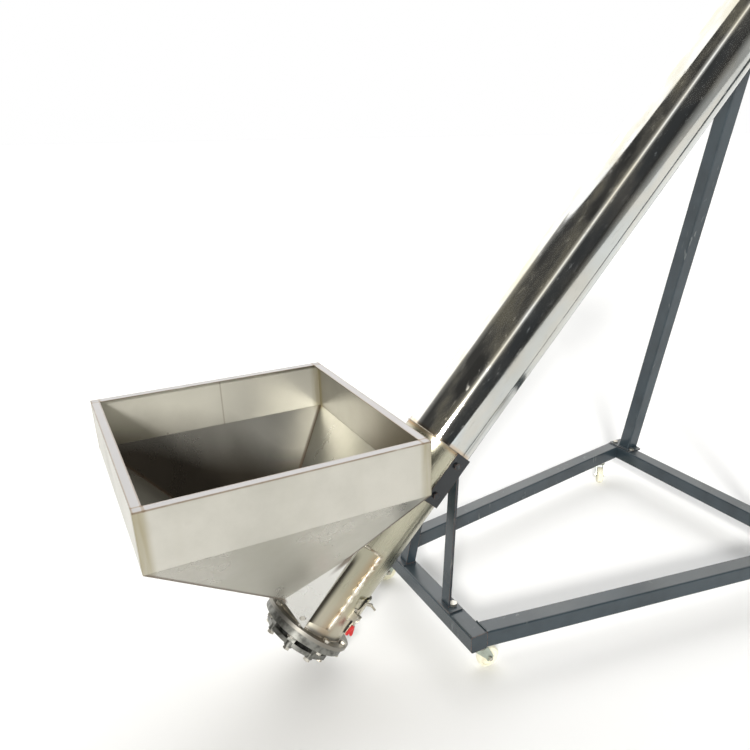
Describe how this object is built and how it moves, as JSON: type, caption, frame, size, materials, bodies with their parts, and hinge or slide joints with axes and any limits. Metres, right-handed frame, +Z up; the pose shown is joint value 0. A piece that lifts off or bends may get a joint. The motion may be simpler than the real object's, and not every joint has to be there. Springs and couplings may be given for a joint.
{
  "type": "inclined grain auger",
  "caption": "Inclined grain auger: a square hopper feeds a screw turning in a steel tube, driven from the top, on a wheeled trapezoid frame with a clean-out door.",
  "frame": {"origin": "on the floor under the middle of the whole machine", "axes": "+Z up, +X the way the tube rises, +Y to the left of that way; the machine's middle plane is Y = 0"},
  "size_m": [2.4928, 0.926, 2.4819],
  "materials": {
    "frame_paint": "gloss",
    "drive_paint": "gloss",
    "tube_steel": "polished",
    "box_steel": "satin",
    "hopper_steel": "satin",
    "screw_steel": "worn",
    "zinc": "dull zinc plate",
    "fork_zinc": "dull zinc plate",
    "bracket_iron": "machined, dirty",
    "gear_steel": "oiled",
    "black_rubber": "matt",
    "wheel_nylon": "satin",
    "red_grip": "gloss",
    "fan_plastic": "matt"
  },
  "bodies": {
    "frame": {"front_crossbar": "frame_paint", "rear_crossbar": "frame_paint", "side_rail_left": "frame_paint", "side_rail_right": "frame_paint", "tube_end_plugs": "frame_paint", "front_strut_left": "frame_paint", "front_strut_right": "frame_paint", "strut_foot_plates": "frame_paint", "cradle_strips": "frame_paint", "rear_post_left": "frame_paint", "rear_post_right": "frame_paint", "post_foot_plates": "frame_paint", "post_crosshead": "frame_paint", "rear_saddle": "frame_paint", "saddle_strap": "frame_paint", "frame_bolts": "zinc", "cradle_bolts": "zinc", "hopper_skirt": "hopper_steel", "hopper_cone": "hopper_steel", "hopper_bolts": "zinc", "inlet_box": "box_steel", "lower_tube": "box_steel", "upper_tube": "tube_steel", "door_hinge": "zinc", "hinge_pin": "zinc", "clamp_base": "zinc", "bearing_bracket": "bracket_iron", "lower_bearing": "zinc", "lower_seal": "black_rubber", "flange_bolts": "zinc", "discharge_spout": "tube_steel", "upper_lantern": "drive_paint", "upper_bearing": "zinc", "gearbox_case": "drive_paint", "motor_case": "drive_paint", "fan_cowl": "drive_paint", "terminal_box": "drive_paint", "caster_plates": "zinc"},
    "screw": {"screw_core": "screw_steel", "screw_flight": "screw_steel", "output_gear": "gear_steel"},
    "rotor": {"motor_rotor": "gear_steel", "motor_fan": "fan_plastic"},
    "door": {"cleanout_door": "box_steel", "door_gasket": "black_rubber"},
    "handle": {"clamp_handle": "zinc", "clamp_grip": "red_grip"},
    "arm": {"clamp_arm": "zinc"},
    "caster_1": {"caster_fork_1": "fork_zinc", "caster_axles_1": "zinc"},
    "wheel_1": {"caster_wheel_1": "wheel_nylon"},
    "caster_2": {"caster_fork_2": "fork_zinc", "caster_axles_2": "zinc"},
    "wheel_2": {"caster_wheel_2": "wheel_nylon"},
    "caster_3": {"caster_fork_3": "fork_zinc", "caster_axles_3": "zinc"},
    "wheel_3": {"caster_wheel_3": "wheel_nylon"},
    "caster_4": {"caster_fork_4": "fork_zinc", "caster_axles_4": "zinc"},
    "wheel_4": {"caster_wheel_4": "wheel_nylon"}
  },
  "joints": [
    {"name": "screw_spin", "type": "hinge", "parent": "frame", "child": "screw", "pos_m": [-0.9727, 0, 0], "axis": [0.6794, 0, 0.7337], "continuous": true},
    {"name": "rotor_spin", "type": "hinge", "parent": "frame", "child": "rotor", "pos_m": [-1.01948, 0, 0.04331], "axis": [0.6794, 0, 0.7337], "continuous": true},
    {"name": "door_hinge", "type": "hinge", "parent": "frame", "child": "door", "pos_m": [-0.78015, 0.10068, 0.13243], "axis": [0.6794, 0, 0.7337], "range_deg": [0, 75]},
    {"name": "handle_pivot", "type": "hinge", "parent": "frame", "child": "handle", "pos_m": [-0.74705, -0.1057, 0.18083], "axis": [-0.6803, -0.3746, 0.63], "range_deg": [-8, 70]},
    {"name": "arm_pivot", "type": "hinge", "parent": "frame", "child": "arm", "pos_m": [-0.74925, -0.09828, 0.18287], "axis": [0.6803, 0.3746, -0.63], "range_deg": [-8, 70]},
    {"name": "swivel_1", "type": "hinge", "parent": "frame", "child": "caster_1", "pos_m": [-0.4574, -0.244, 0.08], "axis": [0, 0, 1], "continuous": true},
    {"name": "wheel_1_spin", "type": "hinge", "parent": "caster_1", "child": "wheel_1", "pos_m": [-0.4294, -0.244, 0.0315], "axis": [0, 1, 0], "continuous": true},
    {"name": "swivel_2", "type": "hinge", "parent": "frame", "child": "caster_2", "pos_m": [-0.4574, 0.244, 0.08], "axis": [0, 0, 1], "continuous": true},
    {"name": "wheel_2_spin", "type": "hinge", "parent": "caster_2", "child": "wheel_2", "pos_m": [-0.4854, 0.244, 0.0315], "axis": [0, -1, 0], "continuous": true},
    {"name": "swivel_3", "type": "hinge", "parent": "frame", "child": "caster_3", "pos_m": [0.5966, 0.433, 0.08], "axis": [0, 0, 1], "continuous": true},
    {"name": "wheel_3_spin", "type": "hinge", "parent": "caster_3", "child": "wheel_3", "pos_m": [0.58054, 0.41006, 0.0315], "axis": [0.8192, -0.5736, 0], "continuous": true},
    {"name": "swivel_4", "type": "hinge", "parent": "frame", "child": "caster_4", "pos_m": [0.5966, -0.433, 0.08], "axis": [0, 0, 1], "continuous": true},
    {"name": "wheel_4_spin", "type": "hinge", "parent": "caster_4", "child": "wheel_4", "pos_m": [0.62291, -0.42342, 0.0315], "axis": [-0.342, 0.9397, 0], "continuous": true}
  ],
  "couplings": [
    {"joint": "rotor_spin", "follows": "screw_spin", "ratio": -4},
    {"joint": "arm_pivot", "follows": "handle_pivot", "ratio": 1}
  ]
}
